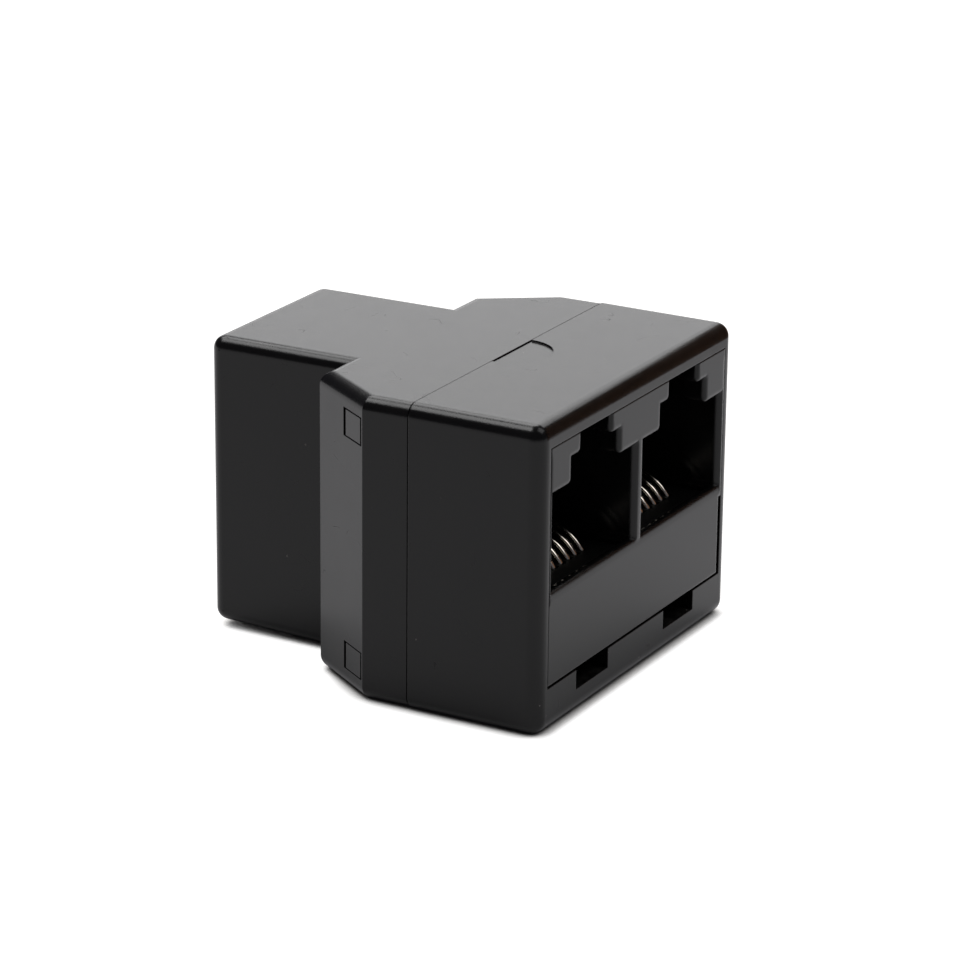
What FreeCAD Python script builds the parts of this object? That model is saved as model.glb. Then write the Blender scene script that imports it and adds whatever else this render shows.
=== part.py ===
import FreeCAD, Part
import os
from math import atan2, cos, pi, radians, sin, tan

# Ethernet splitter adapter: two modular jacks side by side at the front, one at the rear.
# Millimetres. X runs along the twin-jack face, Y from that face to the rear, Z up.
# While modelling, Y is 0 on the twin-jack face; export moves the origin to the middle of the base.

# Modular jack openings
port_width = 11.85
port_height = 6.8
port_pitch = 12.92
lead_in = 0.26
lead_in_rise = 0.15
lead_in_depth = 0.36
latch_wide = 6.8
latch_wide_height = 1.83
latch_narrow = 4.25
latch_narrow_height = 1.43
latch_wall = 1.6
step_radius = 0.4
mouth_radius = 0.32

# Jack housings
plug_depth = 10.6
jack_wall = 0.43
jack_roof = 0.6
jack_rear_wall = 1.0
panel_thickness = 0.55
panel_bevel_height = 0.47
panel_bevel_depth = 0.05
panel_relief = 0.38
mouth_relief = 0.08
relief_drop = 0.85
bay_ledge = 0.35
bay_floor = 1.1
catch_width = 4.3
catch_drop = 1.4
catch_length = 1.0

# Contact carriers and spring contacts
contact_count = 8
contact_pitch = 1.02
contact_width = 0.4
contact_thickness = 0.34
channel_room = 0.1
carrier_drop = 0.5
comb_depth = 1.0
comb_wall = 0.4
comb_above_tip = 0.5
comb_below_tip = 0.5
bend_distance = 2.8
bend_radius = 0.4
knee_radius = 0.5
spring_angle = 52.0
spring_length = 0.2
crown_radius = 3.6
tip_angle = 13.0
tip_overlap = 0.6
tail_rows = 4
upper_row_depth = 0.95
lower_row_height = 0.55

# Circuit board
board_thickness = 1.2
board_margin = 1.2
board_hole_diameter = 0.7
hole_flats = 8
tail_length = 0.5
tail_room = 0.9

# Shells
body_height = 21.71
body_depth = 29.97
top_rim = 1.62
bottom_rim = 3.19
side_wall = 1.25
neck_wall = 0.99
floor_wall = 1.3
neck_floor = 1.5
rim_thickness = 1.6
front_depth = 10.03
side_run = 3.55
shoulder_length = 5.52
shoulder_face = 3.04
edge_radius = 1.0
neck_edge_radius = 0.92
rear_top_fall = 0.15
neck_rise_root = 0.13
neck_rise_end = 0.46
neck_overlap = 1.5

# Release slots, pry notch, seam and snap hooks
slot_width = 4.63
slot_height = 1.4
pry_radius = 2.85
pry_depth = 0.12
seam_gap = 0.1
seam_step = 0.05
tongue_length = 1.2
tongue_thickness = 0.6
hook_height = 1.83
hook_lift = 0.21
hook_thickness = 0.7
hook_root = 1.4
window_run = 2.38
window_margin = 0.13
window_gap = 0.08
catch_gap = 0.12
hook_end_gap = 0.25

# Clearances
fit_gap = 0.05
panel_gap = 0.2
seat_gap = 0.1
through_cut = 1.0

# Heights: the openings hang from the top, and the panel below them takes up what is left
opening_top = body_height - top_rim
insert_top = opening_top - fit_gap
latch_step = insert_top - latch_narrow_height
port_ledge = latch_step - latch_wide_height
port_floor = port_ledge - port_height
panel_bottom = bottom_rim + panel_gap
bay_bottom = panel_bottom + bay_floor
carrier_bottom = bay_bottom + fit_gap
carrier_top = port_floor - carrier_drop
row_step = (carrier_top - carrier_bottom - upper_row_depth - lower_row_height) / (tail_rows - 1)

# Widths
bay_width = port_width - 2 * bay_ledge
carrier_width = bay_width - 2 * seat_gap
twin_width = port_pitch + port_width + 2 * jack_wall
single_width = port_width + 2 * jack_wall
twin_opening = twin_width + 2 * fit_gap
single_opening = single_width + 2 * fit_gap
body_width = twin_opening + 2 * side_wall
neck_width = single_opening + 2 * neck_wall
shoulder_width = neck_width + 2 * shoulder_face
rear_width = body_width - 2 * seam_step
channel_width = contact_width + 2 * channel_room
contact_field = (contact_count - 1) * contact_pitch

# Depths, from the twin-jack face
comb_back = plug_depth + comb_depth + comb_wall
front_jack_depth = comb_back + jack_rear_wall
board_front = front_jack_depth
board_back = board_front + board_thickness
rear_jack_depth = body_depth - board_back
seam = front_depth + seam_gap
shoulder_start = front_depth + side_run
shoulder_end = shoulder_start + shoulder_length
rear_top = body_height - seam_step

# The spring beam, measured from the jack face and up from the base
spring_slope = radians(spring_angle)
tip_slope = radians(tip_angle)
knee_turn = pi / 2 - spring_slope
crown_turn = spring_slope - tip_slope
beam_start = bend_distance + knee_radius * (1 - cos(knee_turn))
crown_start = beam_start + spring_length * cos(spring_slope)
crown_end = crown_start + crown_radius * (sin(spring_slope) - sin(tip_slope))
crown_rise = spring_length * sin(spring_slope) + crown_radius * (cos(tip_slope) - cos(spring_slope))
tip_run = plug_depth + tip_overlap - crown_end
tip_height = carrier_top + crown_rise + tip_run * tan(tip_slope)
comb_top = tip_height + comb_above_tip


def block(x0, x1, y0, y1, z0, z1):
    return Part.makeBox(x1 - x0, y1 - y0, z1 - z0, FreeCAD.Vector(x0, y0, z0))


def polygon_prism(points, travel):
    wire = Part.makePolygon(points + points[:1])
    return Part.Face(wire).extrude(travel)


def plan_prism(outline, z0, z1):
    points = [FreeCAD.Vector(x, y, z0) for x, y in outline]
    return polygon_prism(points, FreeCAD.Vector(0, 0, z1 - z0))


def face_prism(outline, y0, y1):
    points = [FreeCAD.Vector(x, y0, z) for x, z in outline]
    return polygon_prism(points, FreeCAD.Vector(0, y1 - y0, 0))


def side_prism(outline, x0, x1):
    points = [FreeCAD.Vector(x0, y, z) for y, z in outline]
    return polygon_prism(points, FreeCAD.Vector(x1 - x0, 0, 0))


def mirrored(outline):
    return outline + [(-x, y) for x, y in reversed(outline)]


def rectangle_wire(half_width, y, z0, z1):
    corners = [(-half_width, z0), (half_width, z0), (half_width, z1), (-half_width, z1)]
    points = [FreeCAD.Vector(x, y, z) for x, z in corners]
    return Part.makePolygon(points + points[:1])


def round_outside(solid, open_y, radius, upright=True):
    # Rounds every edge except those lying on the open end and, if asked, the upright ones.
    chosen = []
    for edge in solid.Edges:
        ends = [vertex.Point for vertex in edge.Vertexes]
        on_open_end = all(abs(end.y - open_y) < 1e-6 for end in ends)
        is_upright = abs(ends[0].x - ends[1].x) < 1e-6 and abs(ends[0].y - ends[1].y) < 1e-6
        if not on_open_end and (upright or not is_upright):
            chosen.append(edge)
    return solid.makeFillet(radius, chosen)


def port_centres(count):
    return [(index - (count - 1) / 2) * port_pitch for index in range(count)]


def contact_offsets():
    return [(index - (contact_count - 1) / 2) * contact_pitch for index in range(contact_count)]


def contact_row(index, rear):
    # Neighbouring tails leave in staggered rows; those of the rear jack lie in between.
    level = 2 * (index % 2) + (1 if rear else 0)
    return carrier_top - upper_row_depth - row_step * level


# Shells


def release_slots(count, y0, y1):
    half = slot_width / 2
    low = bottom_rim - slot_height
    return [block(x - half, x + half, y0, y1, low, bottom_rim + fit_gap) for x in port_centres(count)]


def snap_hook(z0):
    # One right-hand arm, whose end fills the window and follows the shoulder's slope.
    outer = twin_opening / 2 - fit_gap
    inner = outer - hook_thickness
    slope = (rear_width - shoulder_width) / 2 / shoulder_length
    catch = shoulder_start + window_margin + catch_gap
    end = shoulder_start + window_run - hook_end_gap
    skin = rear_width / 2
    outline = [
        (inner, front_depth - hook_root),
        (twin_opening / 2 + fit_gap, front_depth - hook_root),
        (twin_opening / 2 + fit_gap, front_depth),
        (outer, front_depth),
        (outer, catch),
        (skin - slope * (catch - shoulder_start), catch),
        (skin - slope * (end - shoulder_start), end),
        (inner, end),
    ]
    return plan_prism(outline, z0, z0 + hook_height)


def hook_levels():
    return [floor_wall + hook_lift, opening_top - hook_height]


def front_shell():
    half = body_width / 2
    inner = twin_opening / 2
    shell = round_outside(block(-half, half, 0, front_depth, 0, body_height), front_depth, edge_radius)
    past_seam = front_depth + through_cut
    shell = shell.cut(block(-inner, inner, rim_thickness, past_seam, floor_wall, opening_top))
    shell = shell.cut(block(-inner, inner, -through_cut, past_seam, bottom_rim, opening_top))
    shell = shell.cut(release_slots(2, -through_cut, rim_thickness + through_cut))
    tongue_end = front_depth + tongue_length
    outside = inner + tongue_thickness
    low = floor_wall - tongue_thickness
    high = opening_top + tongue_thickness
    tongue = block(-outside, outside, front_depth, tongue_end, low, high)
    tongue = tongue.cut(block(-inner, inner, front_depth, tongue_end, floor_wall, opening_top))
    shell = shell.fuse(tongue)
    for level in hook_levels():
        hook = snap_hook(level)
        shell = shell.fuse([hook, hook.mirror(FreeCAD.Vector(0, 0, 0), FreeCAD.Vector(1, 0, 0))])
    notch_centre = FreeCAD.Vector(0, front_depth, body_height - pry_depth)
    notch = Part.makeCylinder(pry_radius, through_cut, notch_centre)
    return shell.cut(notch).removeSplitter()


def rear_outer():
    # Wide body with sloping shoulders, then a narrower neck whose top carries on flush.
    half = rear_width / 2
    shoulder = shoulder_width / 2
    top_slope = rear_top_fall / (body_depth - seam)
    plan = mirrored([(half, seam), (half, shoulder_start), (shoulder, shoulder_end)])
    wide = plan_prism(plan, 0, rear_top)
    above = [
        (seam, rear_top),
        (body_depth, rear_top - rear_top_fall),
        (body_depth, body_height),
        (seam, body_height),
    ]
    wide = wide.cut(side_prism(above, -body_width, body_width))
    wide = round_outside(wide, seam, edge_radius, upright=False)
    neck_start = shoulder_end - neck_overlap
    side = [
        (neck_start, neck_rise_root),
        (shoulder_end, neck_rise_root),
        (body_depth, neck_rise_end),
        (body_depth, rear_top - rear_top_fall),
        (neck_start, rear_top - top_slope * (neck_start - seam)),
    ]
    neck = side_prism(side, -neck_width / 2, neck_width / 2)
    neck = round_outside(neck, neck_start, neck_edge_radius)
    return wide.fuse(neck)


def shoulder_cavity():
    # Plan of the wide hollow, one wall inside the shoulders.
    half = rear_width / 2
    across = (rear_width - shoulder_width) / 2
    lean = atan2(across, shoulder_length)
    inner = twin_opening / 2
    wall = half - inner
    bend = shoulder_start + (half - inner - wall / cos(lean)) / tan(lean)
    back = shoulder_end - side_wall
    narrow = half - wall / cos(lean) - (back - shoulder_start) * tan(lean)
    return mirrored([(inner, seam - through_cut), (inner, bend), (narrow, back)])


def hook_windows():
    windows = []
    reach = body_width / 2 + through_cut
    inside = twin_opening / 2 - hook_thickness - side_wall
    y0 = shoulder_start + window_margin
    y1 = shoulder_start + window_run
    arm_start = shoulder_start - side_wall
    arm_side = twin_opening / 2
    for level in hook_levels():
        z0 = level - window_gap
        z1 = level + hook_height + window_gap
        windows.append(block(inside, reach, y0, y1, z0, z1))
        windows.append(block(-reach, -inside, y0, y1, z0, z1))
        windows.append(block(inside, arm_side, arm_start, y1, z0, z1))
        windows.append(block(-arm_side, -inside, arm_start, y1, z0, z1))
    return windows


def rear_shell():
    shell = rear_outer()
    cavity = plan_prism(shoulder_cavity(), floor_wall, opening_top)
    rebate_out = twin_opening / 2 + tongue_thickness + fit_gap
    rebate_end = front_depth + tongue_length + fit_gap
    low = floor_wall - tongue_thickness - fit_gap
    high = opening_top + tongue_thickness + fit_gap
    rebate = block(-rebate_out, rebate_out, seam - through_cut, rebate_end, low, high)
    half = single_opening / 2
    rim = body_depth - rim_thickness
    behind = shoulder_end - side_wall - through_cut
    neck_cavity = block(-half, half, behind, rim, neck_floor, opening_top)
    mouth = block(-half, half, rim - through_cut, body_depth + through_cut, bottom_rim, opening_top)
    slots = release_slots(1, rim - through_cut, body_depth + through_cut)
    shell = shell.cut([cavity, rebate, neck_cavity, mouth] + slots + hook_windows())
    return shell.removeSplitter()


# Jack housings


def stepped_mouth(centre):
    # Opening in the latch wall: a wide slot with two steps up to the shell's rim.
    half = port_width / 2
    wide = latch_wide / 2
    narrow = latch_narrow / 2
    high = insert_top + through_cut
    right = [
        (half, port_floor),
        (half, port_ledge),
        (wide, port_ledge),
        (wide, latch_step),
        (narrow, latch_step),
        (narrow, high),
    ]
    mouth = face_prism(mirrored(right), -through_cut, latch_wall)
    steps = [(wide, port_ledge), (narrow, latch_step)]
    corners = []
    for edge in mouth.Edges:
        ends = [vertex.Point for vertex in edge.Vertexes]
        along_y = abs(ends[0].y - ends[1].y) > latch_wall
        for x, z in steps:
            if along_y and abs(abs(ends[0].x) - x) < 1e-6 and abs(ends[0].z - z) < 1e-6:
                corners.append(edge)
    return mouth.makeFillet(step_radius, corners).translated(FreeCAD.Vector(centre, 0, 0))


def lead_in_flare(centre):
    half = port_width / 2
    face = rectangle_wire(half + lead_in, 0, port_floor - lead_in_rise, port_ledge)
    throat = rectangle_wire(half, lead_in_depth, port_floor, port_ledge)
    return Part.makeLoft([face, throat], True, True).translated(FreeCAD.Vector(centre, 0, 0))


def soften_steps(housing, count):
    # Rounds the front edges of the ledges and steps round the latch openings.
    chosen = []
    for edge in housing.Edges:
        box = edge.BoundBox
        on_face = max(abs(box.YMin), abs(box.YMax)) < 1e-4
        above = box.ZMin > port_ledge - fit_gap
        below_top = box.ZMin < insert_top - fit_gap
        near = min(abs(edge.CenterOfMass.x - centre) for centre in port_centres(count)) < port_width / 2
        if on_face and above and below_top and near:
            chosen.append(edge)
    return housing.makeFillet(mouth_radius, chosen)


def jack_housing(count, width, depth):
    half = width / 2
    housing = block(-half, half, 0, depth, panel_bottom, insert_top)
    plug_half = port_width / 2
    bay_half = bay_width / 2
    behind = depth + through_cut
    housing = housing.cut([stepped_mouth(centre) for centre in port_centres(count)])
    housing = housing.cut([lead_in_flare(centre) for centre in port_centres(count)])
    housing = soften_steps(housing, count)
    for centre in port_centres(count):
        room_top = insert_top - jack_roof
        left = centre - plug_half
        right = centre + plug_half
        room = block(left, right, latch_wall, comb_back, port_floor, room_top)
        bay = block(centre - bay_half, centre + bay_half, panel_thickness, behind, bay_bottom, port_floor)
        exit_top = comb_top + seat_gap
        rear_hole = block(centre - bay_half, centre + bay_half, latch_wall, behind, port_floor, exit_top)
        housing = housing.cut([room, bay, rear_hole])
    bevel_top = port_floor - lead_in_rise
    bevel = [
        (0, bevel_top - panel_bevel_height),
        (panel_bevel_depth, bevel_top),
        (-through_cut, bevel_top),
        (-through_cut, bevel_top - panel_bevel_height),
    ]
    bevel_half = (count - 1) / 2 * port_pitch + plug_half + lead_in
    housing = housing.cut(side_prism(bevel, -bevel_half, bevel_half))
    tail_relief = block(-half, half, depth - tail_room, behind, panel_bottom, port_floor)
    housing = housing.cut(tail_relief)
    catch_start = rim_thickness + fit_gap
    for centre in port_centres(count):
        x0 = centre - catch_width / 2
        x1 = centre + catch_width / 2
        low = panel_bottom - catch_drop
        catch = block(x0, x1, catch_start, catch_start + catch_length, low, panel_bottom + bay_floor / 2)
        housing = housing.fuse(catch)
    return housing


def twin_jack_housing():
    housing = jack_housing(2, twin_width, front_jack_depth)
    inside = twin_opening / 2 - fit_gap - hook_thickness - seat_gap
    start = front_depth - hook_root - seat_gap
    behind = front_jack_depth + through_cut
    for level in hook_levels():
        low = level - seat_gap
        high = level + hook_height + seat_gap
        for side in (-1, 1):
            x0, x1 = sorted((side * inside, side * twin_width))
            housing = housing.cut(block(x0, x1, start, behind, low, high))
    # The insert seats tight at the lower left and upper right, with wider gaps opposite.
    half = twin_width / 2
    middle = port_floor - relief_drop
    low = panel_bottom - through_cut
    high = insert_top + through_cut
    lower_right = block(half - panel_relief, twin_width, -through_cut, rim_thickness, low, middle)
    upper_left = block(-twin_width, mouth_relief - half, -through_cut, rim_thickness, middle, high)
    return housing.cut([lower_right, upper_left]).removeSplitter()


def single_jack_housing():
    return jack_housing(1, single_width, rear_jack_depth).removeSplitter()


# Carriers, contacts and board


def contact_carrier(depth, rear):
    half = carrier_width / 2
    front = panel_thickness + fit_gap
    back = depth - tail_room
    base = block(-half, half, front, back, carrier_bottom, carrier_top)
    comb = block(-half, half, plug_depth, comb_back, carrier_top, comb_top)
    carrier = base.fuse(comb)
    groove = channel_width / 2
    cuts = []
    for index, x in enumerate(contact_offsets()):
        row = contact_row(index, rear)
        well_front = bend_distance - groove
        well_back = beam_start + channel_width
        x0 = x - groove
        x1 = x + groove
        cuts.append(block(x0, x1, well_front, well_back, row - groove, carrier_top + through_cut))
        cuts.append(block(x0, x1, well_front, back + through_cut, row - groove, row + groove))
        slot_floor = tip_height - comb_below_tip
        slot_top = comb_top + through_cut
        slot_end = plug_depth + comb_depth
        cuts.append(block(x0, x1, plug_depth - through_cut, slot_end, slot_floor, slot_top))
    return carrier.cut(cuts).removeSplitter()


def contact_path(x, row, tail_end):
    # Tail through the board, forward under the floor, up, then back as a sprung beam.
    edges = []
    y = tail_end
    z = row
    heading = pi

    def straight(length):
        nonlocal y, z
        start = FreeCAD.Vector(x, y, z)
        y += length * cos(heading)
        z += length * sin(heading)
        edges.append(Part.makeLine(start, FreeCAD.Vector(x, y, z)))

    def curve(radius, turn):
        # Bends clockwise, seen with the rear on the right.
        nonlocal y, z, heading
        centre_y = y + radius * sin(heading)
        centre_z = z - radius * cos(heading)
        points = []
        for share in (0, 0.5, 1):
            angle = heading - turn * share
            point_y = centre_y - radius * sin(angle)
            point_z = centre_z + radius * cos(angle)
            points.append(FreeCAD.Vector(x, point_y, point_z))
        edges.append(Part.Arc(*points).toShape())
        y = points[2].y
        z = points[2].z
        heading -= turn

    straight(tail_end - bend_distance - bend_radius)
    curve(bend_radius, pi / 2)
    straight(carrier_top - knee_radius * sin(knee_turn) - z)
    curve(knee_radius, knee_turn)
    straight(spring_length)
    curve(crown_radius, crown_turn)
    straight(tip_run / cos(tip_slope))
    return Part.Wire(edges)


def contact(x, row, tail_end):
    # Flat spring strip, swept along its path.
    half_thickness = contact_thickness / 2
    section = rectangle_wire(contact_width / 2, tail_end, row - half_thickness, row + half_thickness)
    section.translate(FreeCAD.Vector(x, 0, 0))
    return contact_path(x, row, tail_end).makePipe(Part.Face(section))


def board_hole(x, z):
    # The diameter is measured across the flats.
    half_turn = pi / hole_flats
    radius = board_hole_diameter / 2 / cos(half_turn)
    angles = [(2 * side + 1) * half_turn for side in range(hole_flats)]
    outline = [(x + radius * cos(angle), z + radius * sin(angle)) for angle in angles]
    return face_prism(outline, board_front, board_back)


def circuit_board():
    half = port_pitch / 2 + contact_field / 2 + board_margin
    low = contact_row(1, True) - board_margin
    board = block(-half, half, board_front, board_back, low, latch_step)
    holes = []
    for index, x in enumerate(contact_offsets()):
        for centre in port_centres(2):
            holes.append(board_hole(centre + x, contact_row(index, False)))
        # The rear jack faces the other way, so its contacts run from right to left.
        holes.append(board_hole(-x, contact_row(index, True)))
    return board.cut(holes)


def turned_to_rear(shape):
    turned = shape.rotated(FreeCAD.Vector(0, 0, 0), FreeCAD.Vector(0, 0, 1), 180)
    return turned.translated(FreeCAD.Vector(0, body_depth, 0))


def assembly():
    nodes = {
        "front_shell": front_shell(),
        "rear_shell": rear_shell(),
        "twin_jack_housing": twin_jack_housing(),
        "single_jack_housing": turned_to_rear(single_jack_housing()),
        "circuit_board": circuit_board(),
    }
    tail = board_thickness + tail_length
    for name, centre in zip(("left", "right"), port_centres(2)):
        move = FreeCAD.Vector(centre, 0, 0)
        nodes[name + "_contact_carrier"] = contact_carrier(front_jack_depth, False).translated(move)
        for index, x in enumerate(contact_offsets()):
            node = f"{name}_contact_{index + 1}"
            nodes[node] = contact(centre + x, contact_row(index, False), front_jack_depth + tail)
    nodes["rear_contact_carrier"] = turned_to_rear(contact_carrier(rear_jack_depth, True))
    for index, x in enumerate(contact_offsets()):
        wire = contact(x, contact_row(index, True), rear_jack_depth + tail)
        nodes[f"rear_contact_{index + 1}"] = turned_to_rear(wire)
    return nodes


os.makedirs("parts", exist_ok=True)
to_base_middle = FreeCAD.Vector(0, -body_depth / 2, 0)
for name, shape in assembly().items():
    shape.translated(to_base_middle).exportStep(f"parts/{name}.step")
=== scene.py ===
from math import cos, pi, radians, sin

import bmesh
import bpy
from mathutils import Matrix, Vector


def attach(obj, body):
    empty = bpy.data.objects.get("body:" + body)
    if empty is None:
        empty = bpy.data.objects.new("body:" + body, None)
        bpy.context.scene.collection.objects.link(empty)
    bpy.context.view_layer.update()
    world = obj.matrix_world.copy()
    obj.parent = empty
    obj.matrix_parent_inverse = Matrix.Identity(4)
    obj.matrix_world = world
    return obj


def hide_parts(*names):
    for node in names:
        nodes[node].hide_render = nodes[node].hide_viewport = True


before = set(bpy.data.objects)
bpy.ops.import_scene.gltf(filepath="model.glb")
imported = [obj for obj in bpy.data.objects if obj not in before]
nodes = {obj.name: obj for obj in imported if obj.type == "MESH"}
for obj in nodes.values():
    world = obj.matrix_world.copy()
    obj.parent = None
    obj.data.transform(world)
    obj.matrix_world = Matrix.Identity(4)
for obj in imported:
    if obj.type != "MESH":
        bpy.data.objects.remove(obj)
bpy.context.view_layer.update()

# Ethernet splitter adapter: materials for the solids, rolled edges for the contacts, and a white studio.
# Lengths are in metres, but places inside materials are in millimetres. Colours are linear.

MM = 0.001
CONTACTS = 8

# Radius of the softened edges, and the heights between which the softening of the jacks changes
CASE_EDGE = 0.08 * MM
PANEL_EDGE = 0.15 * MM
MOUTH_EDGE = 0.4 * MM
PANEL_TOP = (8.8, 9.4)
INSERT_TOP = (19.7, 19.2)

# Rolled edges of the contacts
WELD = 0.001 * MM
ROLL = 0.16 * MM
ROLL_STEPS = 4
SHARP = radians(50)

# Most values of a noise lie in this band
BAND = (0.3, 0.7)

# Colours
BLACK = (0.003, 0.003, 0.003, 1)
WARM_BLACK = (0.0045, 0.0042, 0.004, 1)
JACK_BLACK = (0.005, 0.005, 0.005, 1)
DEEP_BLACK = (0.002, 0.002, 0.002, 1)
CARRIER_BLACK = (0.004, 0.004, 0.004, 1)
DUST = (0.35, 0.33, 0.3, 1)
GOLD_DARK = (0.72, 0.67, 0.57, 1)
GOLD_LIGHT = (0.8, 0.76, 0.67, 1)
BOARD_DARK = (0.02, 0.11, 0.04, 1)
BOARD_LIGHT = (0.045, 0.19, 0.07, 1)
WHITE = (1, 1, 1, 1)
FLOOR_LIT = (0.85, 0.84, 0.855, 1)
FLOOR_MIRRORED = (0.5, 0.49, 0.505, 1)
# Floor colour that the camera sees only where the glow fades: painted shade that makes the contact shadow
# darker and browner
FLOOR_SEEN_SHADE = (0.28, 0.262, 0.245, 1)
FLAG_BROWN = (0.26, 0.145, 0.09, 1)
ROOM = (0.096, 0.094, 0.11, 1)

# Floor, and the depths at which the contact shadow of the body gives way to that of the front and the neck
FLOOR_RADIUS = 3.0
MATT = 0.9
FRONT_ZONE = (-14.6, -15.2)
NECK_ZONE = (1.0, 3.0)

# Card out of shot
FLAG_MIDDLE = Vector((0.076, -0.0518, 0))
FLAG_ALONG = Vector((0.51, 0.86, 0)) * 0.065
FLAG_HEIGHT = Vector((0, 0, 0.08))

# Lamps: name, centre, height of the point on the axis that it aims at, width, height, radiance
LAMPS = (
    ("rear", (0.438, 0.453, 0.771), 0.02, 0.72, 0.33, 5.4),
    ("side", (0.8, 0.19, 0.55), 0.02, 0.75, 0.24, 2.6),
    ("overhead", (-0.14, 0.457, 0.878), 0.01, 0.5, 0.3, 7.2),
    ("front", (0.2, -0.45, 0.85), 0.01, 0.6, 0.6, 2.0),
    ("backdrop", (0.85, 0.48, 0.28), 0.02, 0.8, 0.4, 1.63),
)

# Camera, as fitted to the photograph
CAMERA_PLACE = (-0.232117, -0.131785, 0.104265)
AZIMUTH = radians(-60.7261)
ELEVATION = radians(19.9993)
ROLLED = radians(0.527)
SENSOR = 36.0
LENS = 148.3219
SHIFT = (0.02206, 0.048847)

scene = bpy.context.scene
scene.view_settings.view_transform = "Standard"


# Small helpers for node trees

def add(tree, kind, **values):
    node = tree.nodes.new(kind)
    for key, value in values.items():
        setattr(node, key, value)
    return node


def feed(tree, target, source):
    # A link where source is a socket, otherwise a plain value.
    if isinstance(source, bpy.types.NodeSocket):
        tree.links.new(source, target)
    else:
        target.default_value = source


def calculate(tree, operation, first, second=0.0):
    node = add(tree, "ShaderNodeMath", operation=operation)
    feed(tree, node.inputs[0], first)
    feed(tree, node.inputs[1], second)
    return node.outputs[0]


def remap(tree, value, low, high, to_low=0.0, to_high=1.0):
    node = add(tree, "ShaderNodeMapRange")
    feed(tree, node.inputs["Value"], value)
    feed(tree, node.inputs["From Min"], low)
    feed(tree, node.inputs["From Max"], high)
    node.inputs["To Min"].default_value = to_low
    node.inputs["To Max"].default_value = to_high
    return node.outputs["Result"]


def mix(tree, factor, first, second):
    node = add(tree, "ShaderNodeMix", data_type="RGBA")
    feed(tree, node.inputs["Factor"], factor)
    feed(tree, node.inputs[6], first)
    feed(tree, node.inputs[7], second)
    return node.outputs[2]


def noise(tree, where, scale, detail=2.0, roughness=0.5):
    node = add(tree, "ShaderNodeTexNoise")
    feed(tree, node.inputs["Vector"], where)
    node.inputs["Scale"].default_value = scale
    node.inputs["Detail"].default_value = detail
    node.inputs["Roughness"].default_value = roughness
    return node.outputs["Fac"]


def millimetres(tree, stretch=(1, 1, 1)):
    # Object coordinates in millimetres, since every piece has its origin at the row's.
    place = add(tree, "ShaderNodeTexCoord")
    scaling = add(tree, "ShaderNodeMapping")
    scaling.inputs["Scale"].default_value = [side / MM for side in stretch]
    tree.links.new(place.outputs["Object"], scaling.inputs["Vector"])
    return scaling.outputs["Vector"]


def axis(tree, vector, letter):
    parts = add(tree, "ShaderNodeSeparateXYZ")
    tree.links.new(vector, parts.inputs["Vector"])
    return parts.outputs[letter]


def material(name, roughness, metallic=0.0, specular=0.5):
    made = bpy.data.materials.new(name)
    made.use_nodes = True
    shader = made.node_tree.nodes["Principled BSDF"]
    shader.inputs["Roughness"].default_value = roughness
    shader.inputs["Metallic"].default_value = metallic
    shader.inputs["Specular IOR Level"].default_value = specular
    return made, made.node_tree, shader


def bump(tree, shader, height, distance, edge=None):
    # Distance in millimetres, over edges softened by a small radius in metres.
    node = add(tree, "ShaderNodeBump")
    node.inputs["Strength"].default_value = 1.0
    node.inputs["Distance"].default_value = distance * MM
    feed(tree, node.inputs["Height"], height)
    if edge is not None:
        soft = add(tree, "ShaderNodeBevel", samples=6)
        feed(tree, soft.inputs["Radius"], edge)
        tree.links.new(soft.outputs["Normal"], node.inputs["Normal"])
    tree.links.new(node.outputs["Normal"], shader.inputs["Normal"])


# Materials

def upward(tree):
    # One on faces that look up, where dust settles, and nought on the sides.
    facing = add(tree, "ShaderNodeNewGeometry")
    return remap(tree, axis(tree, facing.outputs["Normal"], "Z"), 0.6, 0.95)


def dust_film(tree, where):
    # A thin uneven film on the faces that look up.
    patches = noise(tree, where, scale=1.1, detail=5.0, roughness=0.65)
    film = remap(tree, patches, 0.4, 0.75, to_high=0.05)
    return calculate(tree, "MULTIPLY", film, upward(tree))


def specks(tree, where, strength):
    # Small round specks in some of the cells of a grid.
    cells = add(tree, "ShaderNodeTexVoronoi")
    tree.links.new(where, cells.inputs["Vector"])
    cells.inputs["Scale"].default_value = 0.55
    speck = remap(tree, cells.outputs["Distance"], 0.02, 0.045, to_low=1.0, to_high=0.0)
    picked = calculate(tree, "GREATER_THAN", cells.outputs["Color"], 0.62)
    speck = calculate(tree, "MULTIPLY", speck, picked)
    return calculate(tree, "MULTIPLY", speck, strength)


def hairlines(tree, where):
    # Short thin scuffs: level lines of a slow noise, kept only in a few patches.
    slow = noise(tree, where, scale=0.31, detail=1.0)
    level = calculate(tree, "ABSOLUTE", calculate(tree, "SUBTRACT", slow, 0.5))
    line = remap(tree, level, 0.0008, 0.0026, to_low=1.0, to_high=0.0)
    patch = remap(tree, noise(tree, where, scale=0.47), 0.6, 0.63)
    return calculate(tree, "MULTIPLY", line, patch)


def mouth_softness(tree, where):
    # Edges are rounder at the mouths of the jacks than on the panel below and at the top of the insert.
    height = axis(tree, where, "Z")
    mouth = calculate(tree, "MINIMUM", remap(tree, height, *PANEL_TOP), remap(tree, height, *INSERT_TOP))
    return remap(tree, mouth, 0.0, 1.0, PANEL_EDGE, MOUTH_EDGE)


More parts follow.
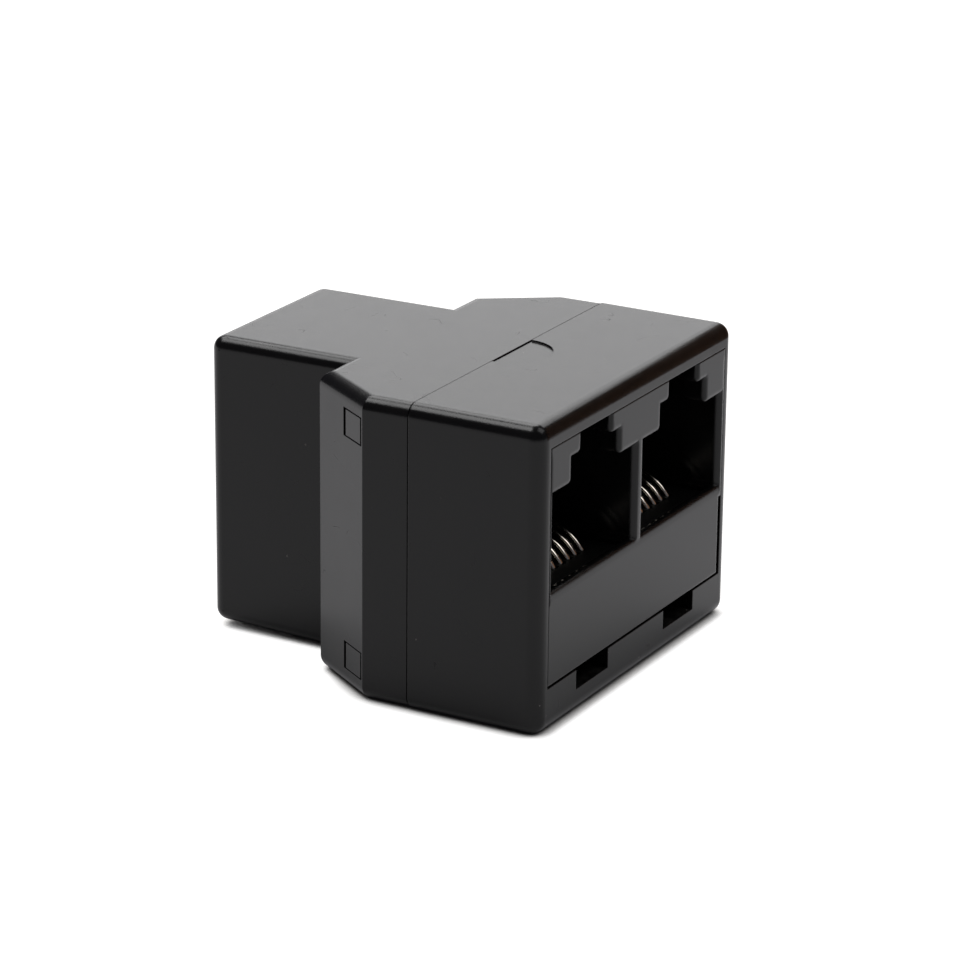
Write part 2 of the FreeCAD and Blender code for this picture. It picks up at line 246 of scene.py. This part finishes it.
def moulded_plastic(name, dark, light, gloss, grain, dust=0.0, mouths=False, specular=0.23):
    made, tree, shader = material(name, gloss, specular=specular)
    where = millimetres(tree)
    cloud = noise(tree, where, scale=0.35, detail=3.0)
    fine = noise(tree, where, scale=9.0, roughness=0.6)
    colour = mix(tree, remap(tree, cloud, *BAND), dark, light)
    slow_rough = remap(tree, cloud, *BAND, gloss - 0.02, gloss + 0.03)
    rough = calculate(tree, "ADD", slow_rough, remap(tree, fine, *BAND, -0.02, 0.02))
    if dust:
        speck = specks(tree, where, dust)
        marks = calculate(tree, "MAXIMUM", speck, dust_film(tree, where))
        colour = mix(tree, marks, colour, DUST)
        dull = calculate(tree, "MAXIMUM", speck, hairlines(tree, where))
        rough = calculate(tree, "ADD", rough, calculate(tree, "MULTIPLY", dull, 0.3))
    feed(tree, shader.inputs["Base Color"], colour)
    feed(tree, shader.inputs["Roughness"], rough)
    bump(tree, shader, fine, grain, edge=mouth_softness(tree, where) if mouths else CASE_EDGE)
    return made


def spring_gold():
    made, tree, shader = material("spring_gold", 0.2, metallic=1.0)
    where = millimetres(tree, stretch=(1, 0.25, 0.25))
    streak = noise(tree, where, scale=12.0, detail=3.0)
    colour = mix(tree, remap(tree, streak, *BAND), GOLD_DARK, GOLD_LIGHT)
    feed(tree, shader.inputs["Base Color"], colour)
    feed(tree, shader.inputs["Roughness"], remap(tree, streak, *BAND, 0.09, 0.17))
    bump(tree, shader, streak, 0.004)
    return made


def board_laminate():
    made, tree, shader = material("board_laminate", 0.45)
    where = millimetres(tree)
    weave = add(tree, "ShaderNodeTexWave", wave_type="BANDS", bands_direction="DIAGONAL")
    tree.links.new(where, weave.inputs["Vector"])
    weave.inputs["Scale"].default_value = 2.4
    weave.inputs["Distortion"].default_value = 1.2
    cloud = noise(tree, where, scale=0.8, detail=3.0)
    shade = calculate(tree, "MULTIPLY", weave.outputs["Fac"], cloud)
    feed(tree, shader.inputs["Base Color"], mix(tree, shade, BOARD_DARK, BOARD_LIGHT))
    feed(tree, shader.inputs["Roughness"], remap(tree, cloud, *BAND, 0.35, 0.5))
    bump(tree, shader, shade, 0.01)
    return made


case = moulded_plastic("case_black", BLACK, WARM_BLACK, gloss=0.2, grain=0.004, dust=0.3)
jack = moulded_plastic("jack_black", BLACK, JACK_BLACK, gloss=0.12, grain=0.004, mouths=True)
inner = moulded_plastic("carrier_black", DEEP_BLACK, CARRIER_BLACK, gloss=0.5, grain=0.006, specular=0.08)
gold = spring_gold()
laminate = board_laminate()


# Pieces

def dress(node, made):
    nodes[node].data.materials.clear()
    nodes[node].data.materials.append(made)


def rounded_contact(node):
    # The formed strip with its long edges rolled, as spring wire is.
    mesh = nodes[node].data.copy()
    piece = bpy.data.objects.new(node + "_wire", mesh)
    scene.collection.objects.link(piece)
    shape = bmesh.new()
    shape.from_mesh(mesh)
    bmesh.ops.remove_doubles(shape, verts=shape.verts, dist=WELD)
    sharp = [edge for edge in shape.edges if edge.is_manifold and edge.calc_face_angle() > SHARP]
    bmesh.ops.bevel(shape, geom=sharp, offset=ROLL, segments=ROLL_STEPS, profile=0.5, affect="EDGES")
    for face in shape.faces:
        face.smooth = True
    shape.to_mesh(mesh)
    shape.free()
    mesh.materials.clear()
    mesh.materials.append(gold)
    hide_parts(node)
    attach(piece, "root")


for name in ("front_shell", "rear_shell"):
    dress(name, case)
for name in ("twin_jack_housing", "single_jack_housing"):
    dress(name, jack)
for side in ("left", "right", "rear"):
    dress(side + "_contact_carrier", inner)
    for index in range(CONTACTS):
        rounded_contact(f"{side}_contact_{index + 1}")
dress("circuit_board", laminate)


# Floor, light and camera

def open_sky(tree, reach, low, high, full=1.0):
    # How open the floor is within a reach.
    node = add(tree, "ShaderNodeAmbientOcclusion", samples=8)
    feed(tree, node.inputs["Distance"], reach)
    return remap(tree, node.outputs["AO"], low, high, to_high=full)


def foot_glow(tree):
    # The glow dies away round the object's foot, where its contact shadow lies. Along the front the shadow
    # is deeper, and under the neck, which stands a little off the floor, it keeps close in.
    depth = axis(tree, millimetres(tree), "Y")
    ahead = remap(tree, depth, *FRONT_ZONE)
    behind = remap(tree, depth, *NECK_ZONE)

    def zoned(body, front, neck):
        value = calculate(tree, "ADD", body, calculate(tree, "MULTIPLY", ahead, front - body))
        return calculate(tree, "ADD", value, calculate(tree, "MULTIPLY", behind, neck - body))

    reach = zoned(1.5 * MM, 1.2 * MM, 1.2 * MM)
    return open_sky(tree, reach, zoned(0.3, 0.42, 0.3), zoned(0.75, 0.76, 0.62))


def floor_white():
    # White where the camera sees it, and a softer white in what the gloss mirrors. Where the glow fades
    # round the foot, the camera sees a dark warm floor colour: painted shade that makes the contact shadow
    # darker and browner.
    made, tree, shader = material("floor_white", MATT, specular=0.0)
    shader.inputs["Emission Color"].default_value = WHITE
    ray = add(tree, "ShaderNodeLightPath")
    seen = ray.outputs["Is Camera Ray"]
    mirrored = calculate(tree, "MAXIMUM", ray.outputs["Is Glossy Ray"], ray.outputs["Is Transmission Ray"])
    colour = mix(tree, mirrored, FLOOR_LIT, FLOOR_MIRRORED)
    # Painted shade: to the camera the floor is dark and warm wherever the glow fades
    feed(tree, shader.inputs["Base Color"], mix(tree, seen, colour, FLOOR_SEEN_SHADE))
    seen_glow = calculate(tree, "MULTIPLY", seen, foot_glow(tree))
    # Painted shadow in what the gloss mirrors: this glow fades within 12 mm of the object
    mirrored_glow = calculate(tree, "MULTIPLY", mirrored, open_sky(tree, 12 * MM, 0.32, 0.85, 0.58))
    feed(tree, shader.inputs["Emission Strength"], calculate(tree, "ADD", seen_glow, mirrored_glow))
    return made


def floor():
    shape = bmesh.new()
    bmesh.ops.create_circle(shape, cap_ends=True, segments=96, radius=FLOOR_RADIUS)
    mesh = bpy.data.meshes.new("floor")
    shape.to_mesh(mesh)
    shape.free()
    mesh.materials.append(floor_white())
    piece = bpy.data.objects.new("floor", mesh)
    scene.collection.objects.link(piece)


def flag():
    # A dark card out of shot to the right, which only the object's glossy skin mirrors.
    near = FLAG_MIDDLE - FLAG_ALONG
    far = FLAG_MIDDLE + FLAG_ALONG
    mesh = bpy.data.meshes.new("flag")
    mesh.from_pydata([near, far, far + FLAG_HEIGHT, near + FLAG_HEIGHT], [], [(0, 1, 2, 3)])
    made, _, shader = material("flag_brown", MATT, specular=0.0)
    shader.inputs["Base Color"].default_value = FLAG_BROWN
    mesh.materials.append(made)
    piece = bpy.data.objects.new("flag", mesh)
    scene.collection.objects.link(piece)
    piece.visible_camera = False
    piece.visible_diffuse = False
    piece.visible_shadow = False


def softbox(name, centre, aim_height, width, height, radiance):
    data = bpy.data.lights.new(name, "AREA")
    data.shape = "RECTANGLE"
    data.size = width
    data.size_y = height
    data.energy = radiance * pi * width * height
    lamp = bpy.data.objects.new(name, data)
    scene.collection.objects.link(lamp)
    lamp.location = centre
    lamp.rotation_mode = "QUATERNION"
    towards = Vector((0, 0, aim_height)) - Vector(centre)
    lamp.rotation_quaternion = towards.to_track_quat("-Z", "Y")
    lamp.visible_camera = False


def studio():
    # A dim, slightly cool room.
    world = bpy.data.worlds.new("studio")
    scene.world = world
    world.use_nodes = True
    world.node_tree.nodes["Background"].inputs["Color"].default_value = ROOM


def camera():
    level = cos(ELEVATION)
    back = Vector((sin(AZIMUTH) * level, -cos(AZIMUTH) * level, sin(ELEVATION)))
    right = Vector((0, 0, 1)).cross(back).normalized()
    up = back.cross(right)
    turned_right = right * cos(ROLLED) + up * sin(ROLLED)
    turned_up = up * cos(ROLLED) - right * sin(ROLLED)
    turn = Matrix((turned_right, turned_up, back)).transposed().to_4x4()
    data = bpy.data.cameras.new("camera")
    data.sensor_width = SENSOR
    data.lens = LENS
    data.shift_x, data.shift_y = SHIFT
    viewer = bpy.data.objects.new("camera", data)
    scene.collection.objects.link(viewer)
    viewer.matrix_world = Matrix.Translation(CAMERA_PLACE) @ turn
    scene.camera = viewer


floor()
flag()
studio()
for lamp in LAMPS:
    softbox(*lamp)
camera()
